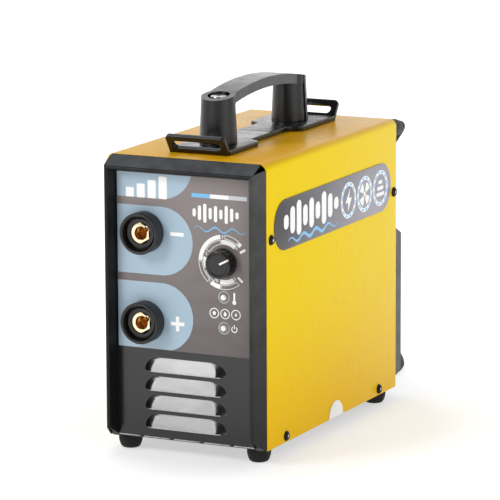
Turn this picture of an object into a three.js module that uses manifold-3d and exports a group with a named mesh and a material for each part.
// A portable stick welder: an inverter power source for coated electrodes, in a folded steel
// case with a carrying handle, built as the separate pieces it comes apart into.
// Millimetres. +Z is up, the control panel faces -Y, and +X is on the right of a person facing it.
// The machine is drawn from the middle of its yellow cover, with z = 0 at the cover's bottom edge,
// and the last lines stand it on its feet with the origin under the middle of its outer box.
import * as THREE from "three";
import { mergeVertices } from "three/addons/utils/BufferGeometryUtils.js";
import Module from "manifold-3d";

// ---- Driving dimensions ----
const SHEET = 1.2;
const GAP = 0.3;
const COVER = { halfWidth: 77.6, height: 254, halfLength: 139.4, bend: 6.5 };
const FOOT = { height: 12.5, radius: 10.7, x: 63.5, frontY: -127, rearY: 121.5 };

// The front panel is a flat plate inside a raised frame that folds over a ridge.
const PANEL = { face: -143.2, halfWidth: 66.5, top: 240.5, foldZ: 1.8 };
const RIDGE = { front: -157.2, halfWidth: 69.4, top: 244.1, radius: 1.5 };
const FRAME_CUT = { rise: 10.5, run: 17.8 };
const FLANGE_BACK = -121;
const LOUVRE = { halfWidth: 40, height: 11.6, depth: 5.2, roll: 8, lowest: 12.5, pitch: 17, count: 4 };
const LABEL = { thickness: 0.5, halfWidth: 66, bottom: 82.6, top: 239.8 };
const LABEL_FRONT = PANEL.face - GAP - LABEL.thickness;

// Controls and sockets: places on the panel, seen from the front.
const SOCKET = { x: -38.3, negativeZ: 187.2, positiveZ: 107.3, radius: 18.5, reach: 14.7 };
const KNOB = { x: 38.3, z: 165.5, radius: 12.6, reach: 12.4, pointerDegrees: 27, flutes: 18 };
const LED = { x: 38.3, thermalZ: 135, powerZ: 107.5, radius: 2.5 };

// Carrying handle on two strap plates.
const HANDLE = { frontY: -74.5, rearY: 70.5, legBase: 17.5, legTop: 15.5, crown: 308, crownRadius: 390 };
const STRAP = { top: 258.7, bottom: 254.3, halfWidth: 29, stripHalf: 17, foldY: 111.5 };
const LOOP = { rise: 17, lean: 11.4, thickness: 4, slotHalf: 19, slotRadius: 4, slotAt: 10.6 };
const HANDLE_MIDDLE = (HANDLE.frontY + HANDLE.rearY) / 2;

// Back of the machine.
const REAR = { face: 137.1, fanZ: 79 };
const GUARD = { back: 162.5, halfWidth: 73, wall: 2.5 };
const SWITCH = { x: -38, z: 210 };
const GLAND = { x: 57, z: 239, end: 186 };
const CORD_RADIUS = 5;
const COIL = { x: -40, y: 230, middleRadius: 55, width: 20, height: 30 };

const INSIDE_X = COVER.halfWidth - SHEET - GAP;
const INSIDE_TOP = COVER.height - SHEET - GAP;
const SIDE_SCREWS = [
  { name: "front_upper", y: -131.1, z: 186.5 },
  { name: "rear_upper", y: 133.2, z: 186.5 },
  { name: "front_lower", y: -101.4, z: 5.8 },
  { name: "rear_lower", y: 99.9, z: 5.8 },
];

// ---- Solids: closed geometries, joined and cut with manifold-3d ----
const wasm = await Module();
wasm.setup();

function toSolid(geometry) {
  const bare = geometry.clone();
  bare.deleteAttribute("normal");
  bare.deleteAttribute("uv");
  const merged = mergeVertices(bare, 1e-4);
  const index = merged.index.array;
  const corners = [];
  for (let i = 0; i < index.length; i += 3) {
    const [a, b, c] = [index[i], index[i + 1], index[i + 2]];
    if (a !== b && b !== c && c !== a) corners.push(a, b, c);
  }
  const vertProperties = merged.attributes.position.array;
  return new wasm.Manifold(new wasm.Mesh({ numProp: 3, vertProperties, triVerts: new Uint32Array(corners) }));
}

function toGeometry(solid) {
  const mesh = solid.getMesh();
  const geometry = new THREE.BufferGeometry();
  geometry.setAttribute("position", new THREE.BufferAttribute(mesh.vertProperties.slice(), 3));
  geometry.setIndex(new THREE.BufferAttribute(mesh.triVerts.slice(), 1));
  geometry.computeVertexNormals();
  return geometry;
}

const join = (...pieces) => toGeometry(pieces.map(toSolid).reduce((all, piece) => all.add(piece)));
const cut = (body, ...tools) =>
  toGeometry(tools.map(toSolid).reduce((rest, tool) => rest.subtract(tool), toSolid(body)));
const shared = (body, mask) => toGeometry(toSolid(body).intersect(toSolid(mask)));

// A box from its limits along X, Y and Z.
function block([x0, x1], [y0, y1], [z0, z1]) {
  const box = new THREE.BoxGeometry(x1 - x0, y1 - y0, z1 - z0);
  return box.translate((x0 + x1) / 2, (y0 + y1) / 2, (z0 + z1) / 2);
}

// A round bar along one axis, from one place on it to another, around a centre given by the other two.
function rod(radius, axis, from, to, [u, v] = [0, 0], sides = 18) {
  const bar = new THREE.CylinderGeometry(radius, radius, to - from, sides);
  const middle = (from + to) / 2;
  if (axis === "x") return bar.rotateZ(-Math.PI / 2).translate(middle, u, v);
  if (axis === "z") return bar.rotateX(Math.PI / 2).translate(u, v, middle);
  return bar.translate(u, middle, v);
}

// A turned piece from a profile of [radius, height] points, standing on one axis.
function turned(profile, axis = "y", sides = 24) {
  const points = profile.map(([radius, height]) => new THREE.Vector2(radius, height));
  let lathe = new THREE.LatheGeometry([...points, points[0]], sides);
  if (toSolid(lathe).volume() < 0) {
    points.reverse();
    lathe = new THREE.LatheGeometry([...points, points[0]], sides);
  }
  if (axis === "x") lathe.rotateZ(-Math.PI / 2);
  if (axis === "z") lathe.rotateX(Math.PI / 2);
  return toGeometry(toSolid(lathe));
}

const AXES = {
  x: [new THREE.Vector3(0, 1, 0), new THREE.Vector3(0, 0, 1), new THREE.Vector3(1, 0, 0)],
  y: [new THREE.Vector3(1, 0, 0), new THREE.Vector3(0, 0, 1), new THREE.Vector3(0, -1, 0)],
  z: [new THREE.Vector3(1, 0, 0), new THREE.Vector3(0, 1, 0), new THREE.Vector3(0, 0, 1)],
};

// An outline pushed along an axis: (y, z) outlines go along X, (x, z) along Y and (x, y) along Z.
function prism(outline, axis, from, to, curveSegments = 6) {
  const shape = outline.isShape ? outline : new THREE.Shape(outline.map(([a, b]) => new THREE.Vector2(a, b)));
  const body = new THREE.ExtrudeGeometry(shape, { depth: to - from, bevelEnabled: false, curveSegments });
  body.applyMatrix4(new THREE.Matrix4().makeBasis(...AXES[axis]));
  return body.translate(axis === "x" ? from : 0, axis === "y" ? to : 0, axis === "z" ? from : 0);
}

// The closed outline of a sheet that follows a folded line, its thickness on the line's left.
function foldedSheet(line, thickness = SHEET) {
  const normals = line.slice(1).map(([x, y], i) => {
    const along = new THREE.Vector2(x - line[i][0], y - line[i][1]).normalize();
    return [-along.y, along.x];
  });
  const back = line.map(([x, y], i) => {
    const [ax, ay] = normals[Math.max(i - 1, 0)];
    const [bx, by] = normals[Math.min(i, normals.length - 1)];
    const stretch = thickness / (1 + ax * bx + ay * by);
    return [x + (ax + bx) * stretch, y + (ay + by) * stretch];
  });
  return [...line, ...back.reverse()];
}

// Points of an arc around a centre, both ends included.
function arc([x, y], radius, fromDegrees, toDegrees, steps) {
  return Array.from({ length: steps + 1 }, (_, i) => {
    const angle = THREE.MathUtils.degToRad(fromDegrees + ((toDegrees - fromDegrees) * i) / steps);
    return [x + radius * Math.cos(angle), y + radius * Math.sin(angle)];
  });
}

// ---- Materials ----
const material = (color, roughness, metalness = 0) =>
  new THREE.MeshStandardMaterial({ color, roughness, metalness });
const yellowPaint = material("#e8c624", 0.45);
const blackPaint = material("#26272a", 0.35);
const greyPaint = material("#55565a", 0.5);
const printedFilm = material("#8b8683", 0.5);
const sideFilm = material("#6f6e72", 0.5);
const paper = material("#f1f1ee", 0.8);
const handlePlastic = material("#3b3a3b", 0.55);
const strapPlastic = material("#454752", 0.6);
const guardPlastic = material("#4a4a4d", 0.6);
const socketPlastic = material("#2b2b2b", 0.5);
const knobPlastic = material("#1c1d1c", 0.45);
const blackPlastic = material("#1e1e1f", 0.5);
const rubber = material("#1d1d1f", 0.85);
const brass = material("#d9b25c", 0.3, 1);
const zinc = material("#b9bcc0", 0.35, 1);
const blackZinc = material("#1b1b1d", 0.4, 0.6);
const aluminium = material("#b4b7ba", 0.45, 1);
const copper = material("#b87548", 0.35, 1);
const ferrite = material("#3a3a3c", 0.7);
const tape = material("#c9a63a", 0.6);
const boardGreen = material("#1f5a37", 0.6);
const sleeveBlue = material("#25405f", 0.5);
const lens = material("#f3f3f0", 0.25);

const machine = new THREE.Group();

function add(name, geometry, look, { at = [0, 0, 0], parent = machine } = {}) {
  const mesh = new THREE.Mesh(geometry, look);
  mesh.name = name;
  mesh.position.set(...at);
  parent.add(mesh);
  return mesh;
}

// ---- Case: cover, front panel, base and rear panel ----
const screwHoles = (radius, names) =>
  SIDE_SCREWS.filter(({ name }) => names.some((part) => name.includes(part))).map(({ y, z }) =>
    rod(radius, "x", -COVER.halfWidth - 5, COVER.halfWidth + 5, [y, z], 10),
  );
const handleHoles = (radius) =>
  [HANDLE.frontY, HANDLE.rearY].map((y) => rod(radius, "z", COVER.height - 20, STRAP.top + 5, [0, y], 12));

function coverShell() {
  const { halfWidth, height, halfLength, bend } = COVER;
  const side = (sign, inset) => {
    const corner = [sign * (halfWidth - bend), height - bend];
    const turn = arc(corner, bend - inset, sign > 0 ? 0 : 180, 90, 5);
    return [[sign * (halfWidth - inset), 0], ...turn];
  };
  const outside = [...side(-1, 0), ...side(1, 0).reverse()];
  const inside = [...side(1, SHEET), ...side(-1, SHEET).reverse()];
  const shell = prism([...outside, ...inside], "y", -halfLength, halfLength);
  return cut(shell, ...screwHoles(2.5, ["front", "rear"]), ...handleHoles(3.5));
}

// The frame's folded line, as [distance from the machine's middle, y]: panel, wall, ridge, slope, flange.
function frameLine(plateEdge, ridgeAt, flangeAt) {
  const centre = [ridgeAt, RIDGE.front + RIDGE.radius];
  const ridge = arc(centre, RIDGE.radius, 186, 342, 6);
  return [
    [plateEdge - 6, PANEL.face],
    [plateEdge, PANEL.face],
    ...ridge,
    [flangeAt, -COVER.halfLength],
    [flangeAt, FLANGE_BACK],
  ];
}

// The frame's side and top strips meet on a mitre through the ridge's corner.
function panelFrame() {
  const sideStrip = prism(foldedSheet(frameLine(PANEL.halfWidth, RIDGE.halfWidth, INSIDE_X)), "z", -2, 262);
  const topLine = frameLine(PANEL.top, RIDGE.top, INSIDE_TOP).map(([height, y]) => [y, height]);
  const topStrip = prism(foldedSheet(topLine, -SHEET), "x", -90, 90);
  const mitre = Math.atan2(INSIDE_TOP - RIDGE.top, INSIDE_X - RIDGE.halfWidth);
  const mask = (side) =>
    block([-200, 200], [-40, 40], side > 0 ? [0, 200] : [-200, 0])
      .rotateY(-mitre)
      .translate(RIDGE.halfWidth, -COVER.halfLength, RIDGE.top);
  const right = cut(sideStrip, mask(1));
  const left = mirrored(right);
  const top = cut(topStrip, mask(-1), mirrored(mask(-1)));
  return join(right, left, top);
}

// The same geometry on the other side of the machine's middle.
function mirrored(geometry) {
  const flipped = (geometry.index ? geometry.toNonIndexed() : geometry.clone()).scale(-1, 1, 1);
  const position = flipped.attributes.position;
  const corner = new THREE.Vector3();
  const other = new THREE.Vector3();
  for (let i = 0; i < position.count; i += 3) {
    corner.fromBufferAttribute(position, i + 1);
    other.fromBufferAttribute(position, i + 2);
    position.setXYZ(i + 1, ...other);
    position.setXYZ(i + 2, ...corner);
  }
  return flipped;
}

// A pressed louvre's outer or inner surface: a pillow whose lower half is cut away at the lip.
function louvrePillow(inset, lip) {
  const roll = LOUVRE.roll - inset / 2;
  const halfWidth = LOUVRE.halfWidth - inset - roll;
  const halfHeight = LOUVRE.height - inset - roll;
  const outline = new THREE.Shape();
  outline.moveTo(-halfWidth + 2, -halfHeight);
  outline.lineTo(halfWidth - 2, -halfHeight);
  outline.absarc(halfWidth - 2, 0, halfHeight, -Math.PI / 2, Math.PI / 2, false);
  outline.lineTo(-halfWidth + 2, halfHeight);
  outline.absarc(-halfWidth + 2, 0, halfHeight, Math.PI / 2, (3 * Math.PI) / 2, false);
  const pillow = new THREE.ExtrudeGeometry(outline, {
    depth: 0.2,
    bevelThickness: LOUVRE.depth - inset,
    bevelSize: roll,
    bevelSegments: 3,
    curveSegments: 3,
  });
  pillow.translate(0, 0, -0.1).applyMatrix4(new THREE.Matrix4().makeBasis(...AXES.y));
  return shared(pillow, block([-60, 60], [-20, 20], [lip, 20]));
}

function frontPanel() {
  const plate = block(
    [-PANEL.halfWidth - 0.4, PANEL.halfWidth + 0.4],
    [PANEL.face, PANEL.face + SHEET],
    [PANEL.foldZ + 1.5, PANEL.top + 0.4],
  );
  const foldLine = [
    [PANEL.face, 20],
    ...arc([PANEL.face + 1.5, PANEL.foldZ + 1.5], 1.5, 180, 270, 3),
    [-133, PANEL.foldZ],
  ];
  const bottomFold = prism(foldedSheet(foldLine), "x", -PANEL.halfWidth, PANEL.halfWidth);
  const frame = cut(
    panelFrame(),
    block([-100, 100], [-60, 60], [-60, 0])
      .rotateX(-Math.atan2(FRAME_CUT.rise, FRAME_CUT.run))
      .translate(0, -COVER.halfLength, 0),
    block([-100, 100], [-COVER.halfLength + GAP, 0], [-10, 14]),
    block([70.2, 90], [-148, 0], [246.2, 270]),
    block([-90, -70.2], [-148, 0], [246.2, 270]),
  );
  let panel = join(plate, bottomFold, frame);
  for (let i = 0; i < LOUVRE.count; i += 1) {
    const lip = LOUVRE.lowest + i * LOUVRE.pitch;
    const outer = shared(louvrePillow(0, 0), block([-60, 60], [-20, SHEET / 2], [-20, 20]));
    const hollow = louvrePillow(SHEET, -0.8);
    panel = cut(join(panel, outer.translate(0, PANEL.face, lip)), hollow.translate(0, PANEL.face, lip));
  }
  const notches = [-44.3, -14.8, 14.8, 44.3].map((x) =>
    block([x - 2.5, x + 2.5], [PANEL.face - 1, PANEL.face + 5], [0, PANEL.foldZ + 1.6]),
  );
  const [before, behind] = [PANEL.face - 5, PANEL.face + 5];
  const through = (radius, x, z, sides = 12) => rod(radius, "y", before, behind, [x, z], sides);
  return cut(
    panel,
    ...notches,
    through(13.3, SOCKET.x, SOCKET.negativeZ, 20),
    through(13.3, SOCKET.x, SOCKET.positiveZ, 20),
    through(4, KNOB.x, KNOB.z),
    through(3.8, LED.x, LED.thermalZ),
    through(3.8, LED.x, LED.powerZ),
    ...screwHoles(2.3, ["front_upper"]),
  );
}

function basePlate() {
  const bottom = GAP;
  const tray = [
    [-INSIDE_X, 12.3],
    [-INSIDE_X, bottom],
    [INSIDE_X, bottom],
    [INSIDE_X, 12.3],
  ];
  const floor = prism(foldedSheet(tray), "y", -COVER.halfLength + GAP, REAR.face - SHEET - GAP);
  const ears = [-1, 1].map((side) => {
    const span = [67.3, 73.8].map((x) => side * x).sort((a, b) => a - b);
    const upright = foldedSheet([[-138, bottom], [-141.4, bottom], [-141.4, 9.5]], -SHEET);
    return prism(upright, "x", ...span);
  });
  const footHoles = [-1, 1].flatMap((side) =>
    [FOOT.frontY, FOOT.rearY].map((y) => rod(4.4, "z", -2, 4, [side * FOOT.x, y], 12)),
  );
  return cut(join(floor, ...ears), ...footHoles, ...screwHoles(2.3, ["lower"]));
}

const fanBolts = () => [-52.5, 52.5].flatMap((x) => [-52.5, 52.5].map((z) => [x, REAR.fanZ + z]));

function rearPanel() {
  const { face, fanZ } = REAR;
  const plate = block([-75.8, 75.8], [face - SHEET, face], [2, INSIDE_TOP]);
  const flange = [121, face];
  const sides = [-1, 1].map((side) => {
    const span = [INSIDE_X - SHEET, INSIDE_X].map((x) => side * x).sort((a, b) => a - b);
    return block(span, flange, [14, 246]);
  });
  const top = block([-70, 70], flange, [INSIDE_TOP - SHEET, INSIDE_TOP]);
  const corners = [-1, 1].map((side) => {
    const span = [70, 80].map((x) => side * x).sort((a, b) => a - b);
    return block(span, [face - 5, face + 5], [246, 260]);
  });
  const boltHoles = fanBolts().map(([x, z]) => rod(2.2, "y", face - 5, face + 5, [x, z], 8));
  return cut(
    join(plate, ...sides, top),
    ...corners,
    ...boltHoles,
    rod(56, "y", face - 5, face + 5, [0, fanZ], 32),
    rod(8.3, "y", face - 5, face + 5, [GLAND.x, GLAND.z]),
    block([SWITCH.x - 13.7, SWITCH.x + 13.7], [face - 5, face + 5], [SWITCH.z - 9.9, SWITCH.z + 9.9]),
    ...screwHoles(2.3, ["rear_upper"]),
  );
}

add("cover", coverShell(), yellowPaint);
add("front_panel", frontPanel(), blackPaint);
add("base_plate", basePlate(), greyPaint);
add("rear_panel", rearPanel(), greyPaint);

// ---- Rear intake guard: a moulded hood with slots, over the fan opening ----
function rearGuard() {
  const { back, halfWidth, wall } = GUARD;
  const front = REAR.face + GAP;
  const outline = (inset) => [
    [front - (inset ? 1 : 0), 6 + inset],
    [154, 8.5 + inset],
    [back - inset, 12 + inset * 0.8],
    [back - inset, 143 - inset * 0.8],
    [150, 149.8 - inset],
    [front - (inset ? 1 : 0), 153.5 - inset],
  ];
  const hood = cut(
    prism(outline(0), "x", -halfWidth, halfWidth),
    prism(outline(wall), "x", -halfWidth + wall, halfWidth - wall),
  );
  const slots = Array.from({ length: 9 }, (_, i) => {
    const z = 23 + i * 13.5;
    return block([-58, 58], [back - 6, back + 1], [z - 3.6, z + 3.6]);
  });
  const stiffener = block([-1.5, 1.5], [back - 6, back - wall], [14, 141]);
  return join(cut(hood, ...slots), stiffener);
}
add("rear_guard", rearGuard(), guardPlastic);

// ---- Printed films and the seal sticker ----
function frontLabel() {
  const { halfWidth, bottom, top } = LABEL;
  const sheet = block([-halfWidth, halfWidth], [LABEL_FRONT, PANEL.face - GAP], [bottom, top]);
  const hole = (radius, x, z) => rod(radius, "y", PANEL.face - 5, PANEL.face, [x, z], 16);
  return cut(
    sheet,
    hole(13.5, SOCKET.x, SOCKET.negativeZ),
    hole(13.5, SOCKET.x, SOCKET.positiveZ),
    hole(5, KNOB.x, KNOB.z),
    hole(3.9, LED.x, LED.thermalZ),
    hole(3.9, LED.x, LED.powerZ),
  );
}
add("front_label", frontLabel(), printedFilm);

// A film with round ends, centred on its own origin and facing +X.
function pillFilm(halfLength, halfHeight, thickness) {
  const ends = [
    ...arc([halfLength - halfHeight, 0], halfHeight, -90, 90, 10),
    ...arc([halfHeight - halfLength, 0], halfHeight, 90, 270, 10),
  ];
  return prism(ends, "x", 0, thickness);
}
const SIDE_LABEL = { halfLength: 125.3, halfHeight: 22.5, z: 195.4 };
add("right_label", pillFilm(SIDE_LABEL.halfLength, SIDE_LABEL.halfHeight, 0.4), sideFilm, {
  at: [COVER.halfWidth + GAP, 0, SIDE_LABEL.z],
});
add("seal_sticker", prism(arc([0, 0], 15, 0, 180, 14), "x", 0, 0.3), paper, {
  at: [COVER.halfWidth + GAP, 3.8, 0.4],
});

// ---- Feet and cover screws ----
const footProfile = [
  [0, -FOOT.height],
  [6.8, -FOOT.height],
  [8.9, -FOOT.height + 1.3],
  [10.2, -FOOT.height + 3.9],
  [FOOT.radius, -FOOT.height + 7.4],
  [FOOT.radius, 0],
  [4, 0],
  [4, 1.9],
  [5.3, 2.5],
  [3.4, 4.6],
  [0, 4.6],
];
for (const [side, x] of [["left", -FOOT.x], ["right", FOOT.x]]) {
  for (const [end, y] of [["front", FOOT.frontY], ["rear", FOOT.rearY]]) {
    add(`${end}_${side}_foot`, turned(footProfile, "z", 18), rubber, { at: [x, y, 0] });
  }
}

// A button-head screw along +X, its seat at x = 0.
function coverScrew() {
  const profile = [
    [0, 2.5],
    [2.6, 2.2],
    [4.5, 0.6],
    [4.5, 0],
    [1.9, 0],
    [1.9, -7.5],
    [0, -7.5],
  ];
  return cut(turned(profile, "x", 12), rod(1.7, "x", 0.9, 4, [0, 0], 6));
}
for (const [side, sign] of [["left", -1], ["right", 1]]) {
  for (const { name, y, z } of SIDE_SCREWS) {
    const screw = add(`cover_screw_${side}_${name}`, coverScrew(), blackZinc);
    screw.position.set(sign * (COVER.halfWidth + GAP), y, z);
    if (sign < 0) screw.rotation.z = Math.PI;
  }
}

// ---- Welding sockets: an insulating housing, a brass contact and a ring nut, on an axis along Y ----
// Each is drawn with the panel's front face at y = 0.
function socketBody() {
  return turned([
    [9.7, -12.2],
    [13.1, -12.2],
    [13.6, -11.7],
    [13.6, -5.5],
    [15.6, -5.5],
    [15.6, -14.1],
    [16.2, -SOCKET.reach],
    [17.8, -SOCKET.reach],
    [SOCKET.radius, -14],
    [SOCKET.radius, -GAP - LABEL.thickness - GAP],
    [12.8, -GAP - LABEL.thickness - GAP],
    [12.8, 16],
    [9.7, 16],
  ]);
}

function socketContact() {
  const front = -9.2;
  const corner = 9.4;
  const outline = [...arc([0, 0], 9.3, 90, 270, 12), ...arc([0, 0], corner, -30, 30, 1)];
  const barrel = prism(outline, "y", front, 16);
  const key = block([5, 8.4], [front - 1, -4], [-2, 2]).rotateY(-THREE.MathUtils.degToRad(35));
  return cut(
    join(barrel, rod(5, "y", 15, 34)),
    rod(6, "y", front - 1, 12),
    rod(7.6, "y", -4.5, 0.5),
    key,
  );
}

const socketNut = () => cut(rod(18, "y", 1.5, 8.5, [0, 0], 12), rod(13.1, "y", 0, 10, [0, 0], 20));

for (const [pole, z] of [["negative", SOCKET.negativeZ], ["positive", SOCKET.positiveZ]]) {
  const socket = new THREE.Group();
  socket.position.set(SOCKET.x, PANEL.face, z);
  machine.add(socket);
  add(`${pole}_socket_body`, socketBody(), socketPlastic, { parent: socket });
  add(`${pole}_socket_contact`, socketContact(), brass, { parent: socket });
  add(`${pole}_socket_nut`, socketNut(), blackPlastic, { parent: socket });
}

// Copper bars bolted to the sockets' studs and led back over the power board.
function busbar(socketZ, level, backTo) {
  const line = [
    [-110, socketZ + 9],
    [-110, level],
    [backTo, level],
  ];
  const bar = prism(foldedSheet(line, -3), "x", SOCKET.x - 8, SOCKET.x + 8);
  return cut(bar, rod(5.3, "y", -120, -100, [SOCKET.x, socketZ]));
}
add("negative_busbar", busbar(SOCKET.negativeZ, 124, -58), copper);
add("positive_busbar", busbar(SOCKET.positiveZ, 95, -78), copper);

// ---- Current knob, its potentiometer, and the two lamps ----
function knobGeometry() {
  const { radius, reach } = KNOB;
  const cap = turned([
    [0, -reach + 0.9],
    [9.2, -reach + 0.9],
    [9.8, -reach],
    [radius - 1.4, -reach],
    [radius - 0.6, -reach + 0.9],
    [radius, -2.4],
    [radius + 0.6, -2.2],
    [radius + 0.6, -0.8],
    [radius - 1.5, -0.8],
    [radius - 1.8, -3],
    [0, -3],
  ]);
  const flutes = Array.from({ length: KNOB.flutes }, (_, i) => {
    const angle = (i * 2 * Math.PI) / KNOB.flutes;
    const centre = [Math.cos(angle) * (radius + 0.5), Math.sin(angle) * (radius + 0.5)];
    return rod(1.1, "y", -reach + 1.4, -2.6, centre, 5);
  });
  const pointer = block([1.5, radius + 1], [-reach - 1, -reach + 1.5], [-0.9, 0.9]);
  pointer.rotateY(-THREE.MathUtils.degToRad(KNOB.pointerDegrees));
  return cut(cap, ...flutes, pointer, rod(3.3, "y", -8, 0, [0, 0], 16));
}

function potentiometerBody() {
  const can = rod(8.5, "y", 3, 11);
  const bush = rod(3.75, "y", -0.4, 4);
  const terminals = block([-6, 6], [4, 16.8], [-14, -7]);
  return cut(join(can, bush, terminals), rod(3.3, "y", -2, 8, [0, 0], 16));
}

const knobAxis = new THREE.Group();
knobAxis.position.set(KNOB.x, LABEL_FRONT, KNOB.z);
machine.add(knobAxis);
add("current_knob", knobGeometry(), knobPlastic, { parent: knobAxis });
add("potentiometer_shaft", rod(3, "y", -7.7, 8.3, [0, 0], 16), zinc, { parent: knobAxis });
add("potentiometer_body", potentiometerBody(), blackPlastic, { at: [KNOB.x, PANEL.face, KNOB.z] });

const lampLens = turned([
  [0, -3.6],
  [1.3, -3.3],
  [2.2, -2.5],
  [LED.radius, -1.5],
  [LED.radius, 6],
  [2.9, 6],
  [2.9, 7],
  [0, 7],
], "y", 12);
const lampHolder = turned([
  [LED.radius + GAP, -2.1],
  [4.2, -2.1],
  [4.7, -1.6],
  [4.7, -1.1],
  [3.5, -1.1],
  [3.5, 4],
  [LED.radius + GAP, 4],
], "y", 16);
for (const [lamp, z] of [["thermal", LED.thermalZ], ["power", LED.powerZ]]) {
  add(`${lamp}_lamp_lens`, lampLens.clone(), lens, { at: [LED.x, PANEL.face, z] });
  add(`${lamp}_lamp_holder`, lampHolder.clone(), blackPlastic, { at: [LED.x, PANEL.face, z] });
}

// The control board stands behind the knob and the lamps.
function controlBoard() {
  const board = block([4, 70], [-126, -124.4], [94, 204]);
  const chip = block([18, 34], [-125, -121.5], [186, 196]);
  const plugBar = block([10, 50], [-125, -116], [97, 104]);
  const relay = block([44, 62], [-125, -110], [176, 200]);
  return join(board, chip, plugBar, relay);
}
add("control_board", controlBoard(), boardGreen);

// ---- Carrying handle: an arched grip on two round legs, screwed down through two strap plates ----
function handleGeometry() {
  const { frontY, rearY, legBase, legTop, crown, crownRadius } = HANDLE;
  const foot = STRAP.top + GAP;
  const centre = [HANDLE_MIDDLE, crown - crownRadius];
  const reach = (rearY - frontY) / 2;
  const edge = THREE.MathUtils.radToDeg(Math.asin((reach + legBase + 2) / crownRadius));
  const under = THREE.MathUtils.radToDeg(Math.asin(reach / crownRadius));
  const sky = [...arc(centre, crownRadius, 90 + edge, 90 - edge, 12), [rearY + 25, 400], [frontY - 25, 400]];
  const aboveCrown = prism(sky, "x", -60, 60);
  const topArc = arc(centre, crownRadius + 1, 90 + under, 90 - under, 12);
  const underArc = arc(centre, crownRadius - 9, 90 - under, 90 + under, 12);
  const bar = prism([...topArc, ...underArc], "x", -12.5, 12.5);
  const legs = [[frontY, -1], [rearY, 1]].flatMap(([y, outward]) => {
    const height = crown + 2 - foot;
    const leg = (extra) => {
      const cone = new THREE.CylinderGeometry(legTop - 0.4 + extra, legBase + extra, height, 24);
      return cone.rotateX(Math.PI / 2).translate(0, y, foot + height / 2);
    };
    const outerHalf = block([-30, 30], outward < 0 ? [y - 30, y] : [y, y + 30], [foot, crown + 2]);
    return [leg(-1.2), shared(leg(0), outerHalf)];
  });
  const collars = [frontY, rearY].map((y) => rod(legTop - 0.4, "z", crown - 15, crown + 1, [0, y], 24));
  const wells = [frontY, rearY].flatMap((y) => [
    rod(10, "z", 294.5, crown + 5, [0, y], 16),
    rod(3.6, "z", foot - 1, crown, [0, y], 10),
  ]);
  return cut(join(bar, ...legs, ...collars), aboveCrown, ...wells);
}
add("handle", handleGeometry(), handlePlastic);

// The front strap plate, drawn around the handle's middle. It ends in an upturned loop for a carrying strap.
function strapPlate() {
  const { top, bottom, halfWidth, stripHalf, foldY } = STRAP;
  const seam = -0.3;
  const outline = [
    [-halfWidth, -foldY],
    [halfWidth, -foldY],
    [halfWidth, -55],
    [stripHalf + 1.5, -44],
    [stripHalf, -43],
    [stripHalf, seam],
    [-stripHalf, seam],
    ...arc([-stripHalf - 7, -30], 7, 0, -90, 4),
    ...arc([-halfWidth + 5, -42], 5, 90, 180, 4),
  ];
  const plate = prism(outline, "z", bottom, top);
  const screwHole = rod(3.6, "z", bottom - 5, top + 5, [0, HANDLE.frontY - HANDLE_MIDDLE], 16);
  return cut(join(plate, strapLoop()), screwHole);
}

// The loop leans outwards from the plate's fold, with rounded top corners and a long slot.
function strapLoop() {
  const { bottom, halfWidth, foldY } = STRAP;
  const { rise, lean, thickness, slotHalf, slotRadius, slotAt } = LOOP;
  const slope = Math.hypot(rise, lean);
  const outline = [
    [-halfWidth, -1],
    [halfWidth, -1],
    ...arc([halfWidth - 4, slope - 4], 4, 0, 90, 4),
    ...arc([-halfWidth + 4, slope - 4], 4, 90, 180, 4),
  ];
  const slot = [
    ...arc([slotHalf, slotAt], slotRadius, -90, 90, 5),
    ...arc([-slotHalf, slotAt], slotRadius, 90, 270, 5),
  ];
  const loop = cut(prism(outline, "y", -thickness, 0), prism(slot, "y", -10, 10));
  loop.rotateX(Math.atan2(lean, rise)).translate(0, -foldY + thickness, bottom + 0.9);
  return cut(loop, block([-40, 40], [-140, -80], [bottom - 10, bottom]));
}

const strapPlates = new THREE.Group();
strapPlates.position.y = HANDLE_MIDDLE;
machine.add(strapPlates);
add("front_strap_plate", strapPlate(), strapPlastic, { parent: strapPlates });
const rearStrap = add("rear_strap_plate", strapPlate(), strapPlastic, { parent: strapPlates });
rearStrap.rotation.z = Math.PI;

// Long screws from the wells in the handle down into nuts under the cover's top.
const handleScrew = turned([
  [0, 300.6],
  [4.9, 300.6],
  [5.2, 300.1],
  [5.2, 296.6],
  [8.6, 296.2],
  [8.6, 294.8],
  [3, 294.8],
  [3, 244],
  [0, 244],
], "z", 16);
const handleNut = cut(rod(6.4, "z", 246, 251.6, [0, 0], 6), rod(3.3, "z", 240, 260, [0, 0], 16));
for (const [end, y] of [["front", HANDLE.frontY], ["rear", HANDLE.rearY]]) {
  const screw = cut(handleScrew, rod(3, "z", 298, 305, [0, 0], 6));
  add(`handle_screw_${end}`, screw, zinc, { at: [0, y, 0] });
  add(`handle_nut_${end}`, handleNut.clone(), zinc, { at: [0, y, 0] });
}

// ---- Cooling fan on the rear panel ----
const FAN = { half: 60, front: 110.3, back: REAR.face - SHEET - GAP, hub: 20, tip: 56, blades: 7 };

function fanFrame() {
  const { half, front, back } = FAN;
  const body = cut(
    block([-half, half], [front, back], [-half, half]),
    rod(57.2, "y", front - 1, back + 1, [0, 0], 32),
  );
  const struts = [0, 90, 180, 270].map((degrees) =>
    block([15, 58.5], [front, front + 3.5], [-2.2, 2.2]).rotateY(THREE.MathUtils.degToRad(degrees + 45)),
  );
  const holes = fanBolts().map(([x, z]) => rod(2.2, "y", front - 1, back + 1, [x, z - REAR.fanZ], 8));
  return cut(join(body, ...struts, rod(FAN.hub, "y", front, front + 5, [0, 0])), ...holes);
}

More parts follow.
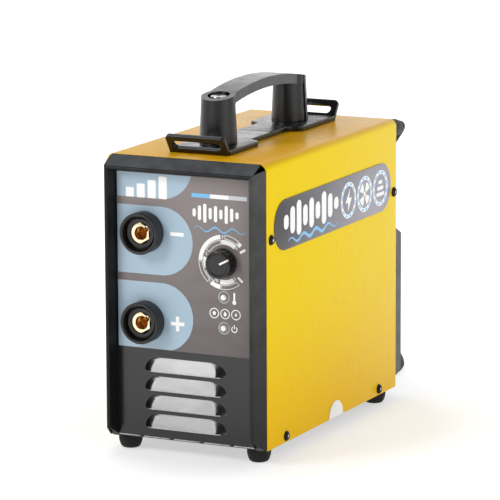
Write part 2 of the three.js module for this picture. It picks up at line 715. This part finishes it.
function fanRotor() {
  const { front, hub, tip, blades } = FAN;
  const cup = turned([
    [0, front + 5.4],
    [hub, front + 5.4],
    [hub, front + 21],
    [hub - 2, front + 23],
    [0, front + 23],
  ]);
  const vanes = Array.from({ length: blades }, (_, i) => {
    const vane = new THREE.BoxGeometry(tip - hub + 3, 1.8, 17);
    vane.rotateX(THREE.MathUtils.degToRad(52)).translate((tip + hub - 3) / 2, front + 14.2, 0);
    return vane.rotateY((i * 2 * Math.PI) / blades);
  });
  return join(cup, ...vanes);
}
add("fan_frame", fanFrame(), blackPlastic, { at: [0, 0, REAR.fanZ] });
add("fan_rotor", fanRotor(), blackPlastic, { at: [0, 0, REAR.fanZ] });

// ---- Power stage: heat sinks on the base, the power board on them, magnetics and capacitors on top ----
const BOARD = { bottom: 90, top: 91.6 };

function heatSink() {
  const { bottom } = BOARD;
  const [low, high, width, fins] = [4, bottom - GAP, 56, 7];
  const pitch = (width - 2.4) / (fins - 1);
  const spine = block([0, width], [-20, 92], [high - 6, high]);
  const blades = Array.from({ length: fins }, (_, i) =>
    block([i * pitch, i * pitch + 2.4], [-20, 92], [low, high - 1]),
  );
  return join(spine, ...blades);
}
add("primary_heat_sink", heatSink(), aluminium, { at: [-66, 0, 0] });
add("secondary_heat_sink", heatSink(), aluminium, { at: [10, 0, 0] });
add("power_board", block([-70, 70], [-100, 98], [BOARD.bottom, BOARD.top]), boardGreen);

const CORE = { halfX: 35, y: [-50, -14], z: [BOARD.top + GAP, 148], legHalf: 11, yoke: 8 };

function transformerCore() {
  const { halfX, y, z, legHalf, yoke } = CORE;
  const windows = [-1, 1].map((side) => {
    const span = [legHalf, halfX - 9].map((x) => side * x).sort((a, b) => a - b);
    return block(span, [y[0] - 1, y[1] + 1], [z[0] + yoke, z[1] - yoke]);
  });
  return cut(block([-halfX, halfX], y, z), ...windows);
}

function transformerWinding() {
  const { halfX, y, z, legHalf, yoke } = CORE;
  const outer = halfX - 9 - GAP;
  return cut(
    block([-outer, outer], [y[0] - 12, y[1] + 12], [z[0] + yoke + GAP, z[1] - yoke - GAP]),
    block([-legHalf - GAP, legHalf + GAP], [y[0] - GAP, y[1] + GAP], [z[0], z[1]]),
  );
}
add("transformer_core", transformerCore(), ferrite);
add("transformer_winding", transformerWinding(), tape);

const ringChoke = turned(arc([27, 0], 12, 0, 315, 7), "y", 18);
add("output_choke", ringChoke, copper, { at: [0, -84, 41.5] });

const capacitor = turned([
  [0, 0],
  [17, 0],
  [17.5, 1],
  [17.5, 49],
  [16.5, 50],
  [15, 50],
  [14.5, 49.2],
  [0, 49.2],
], "z", 18);
for (const [number, x] of [["1", -24], ["2", 24]]) {
  add(`bulk_capacitor_${number}`, capacitor.clone(), sleeveBlue, { at: [x, 42, BOARD.top + GAP] });
}

// ---- Mains side: rocker switch, cable gland, cord, coil and plug ----
function switchBody() {
  const { face } = REAR;
  const rim = block([-15.5, 15.5], [face + GAP, face + 2.3], [-11.5, 11.5]);
  const can = block([-13.4, 13.4], [face - 22, face + 1], [-9.6, 9.6]);
  const well = block([-12.2, 12.2], [face - 6, face + 5], [-7.7, 7.7]);
  return cut(join(rim, can), well);
}

// The rocker tilts about a pin along X, half in the well; its rest position has the lower half pressed in.
function rocker() {
  const outline = [
    [-3.2, -6.6],
    [2.4, -6.6],
    [1.6, 0],
    [5.3, 5.8],
    [-0.4, 6.8],
    [-4.2, 2.5],
  ];
  return prism(outline, "x", -11.7, 11.7);
}
add("power_switch_body", switchBody(), blackPlastic, { at: [SWITCH.x, 0, SWITCH.z] });
add("power_switch_rocker", rocker(), blackPlastic, { at: [SWITCH.x, REAR.face, SWITCH.z] });

function cableGland() {
  const { face } = REAR;
  const bore = CORD_RADIUS + GAP;
  return turned([
    [bore, 126],
    [7.9, 126],
    [7.9, face + GAP],
    [11, face + GAP],
    [11, face + 6],
    [9.6, face + 6.5],
    [9.6, face + 12],
    [8.4, face + 15],
    [8.2, GLAND.end - 6],
    [7.2, GLAND.end - 1.4],
    [5.9, GLAND.end],
    [bore, GLAND.end],
  ], "y", 18);
}
add("cable_gland", cableGland(), blackPlastic, { at: [GLAND.x, 0, GLAND.z] });

// The cord runs straight out of the gland, turns down behind the machine and goes to the coil.
const dropPoints = [
  [GLAND.x, 130, GLAND.z],
  [GLAND.x, 158, GLAND.z],
  [GLAND.x, 174, GLAND.z],
  [GLAND.x, 188, GLAND.z],
  [56.4, 195, 238.6],
  [52.5, 204, 235],
  [44.5, 211, 226],
  [35, 215, 212.5],
  [25, 220, 195],
  [17, 226, 174],
  [11, 235, 146],
  [8, 243, 115],
  [8, 251, 80],
  [7, 260, 50],
  [0, 268, 30],
  [-14, 274, 22.9],
];

// The tail leaves the coil's lowest turn, rounds its right side on the floor and enters the plug.
const tailPoints = [
  [22, 196, -7.5],
  [30, 213, -7.5],
  [33, 230, -7.5],
  [31, 252, -7.5],
  [23, 272, -7],
  [8, 293, -4],
  [-10, 309, 2],
  [-28, 317, 5.6],
  [-38, 318, 6],
  [-48, 318, 6],
];

function cordAlong(points, steps) {
  const corners = arc([0, 0], CORD_RADIUS, 0, 315, 7).map(([x, y]) => new THREE.Vector2(x, y));
  const stops = points.map((point) => new THREE.Vector3(...point));
  const extrudePath = new THREE.CatmullRomCurve3(stops, false, "centripetal");
  return new THREE.ExtrudeGeometry(new THREE.Shape(corners), { extrudePath, steps, bevelEnabled: false });
}
add("power_cord", cordAlong(dropPoints, 22), rubber);
add("cord_tail", cordAlong(tailPoints, 12), rubber);

const coilRing = turned([
  [COIL.middleRadius - COIL.width / 2, -FOOT.height],
  [COIL.middleRadius + COIL.width / 2, -FOOT.height],
  [COIL.middleRadius + COIL.width / 2, -FOOT.height + COIL.height],
  [COIL.middleRadius - COIL.width / 2, -FOOT.height + COIL.height],
], "z", 30);
add("cord_coil", coilRing, rubber, { at: [COIL.x, COIL.y, 0] });

// A two-pin earthed plug, turned about its own length, with the cord entering its tapered collar.
function powerPlug() {
  const body = turned([
    [CORD_RADIUS + GAP, 0],
    [6.6, 0],
    [8.4, 24],
    [13.5, 32],
    [18.3, 44],
    [18.3, 62],
    [17.3, 63],
    [0, 63],
    [0, 12],
    [CORD_RADIUS + GAP, 12],
  ], "x", 20);
  const pins = [-9.5, 9.5].map((y) => rod(2.4, "x", 60, 82, [y, 0], 8));
  return join(body, ...pins);
}
const plug = add("power_plug", powerPlug(), blackPlastic, { at: [-38, 318, 6] });
plug.rotation.z = Math.PI;

// ---- Stand the machine on its feet, with the origin under the middle of its box ----
const frontMost = PANEL.face - SOCKET.reach;
machine.position.set(0, -(frontMost + GUARD.back) / 2, FOOT.height);

const stickWelder = new THREE.Group();
stickWelder.add(machine);

export default stickWelder;
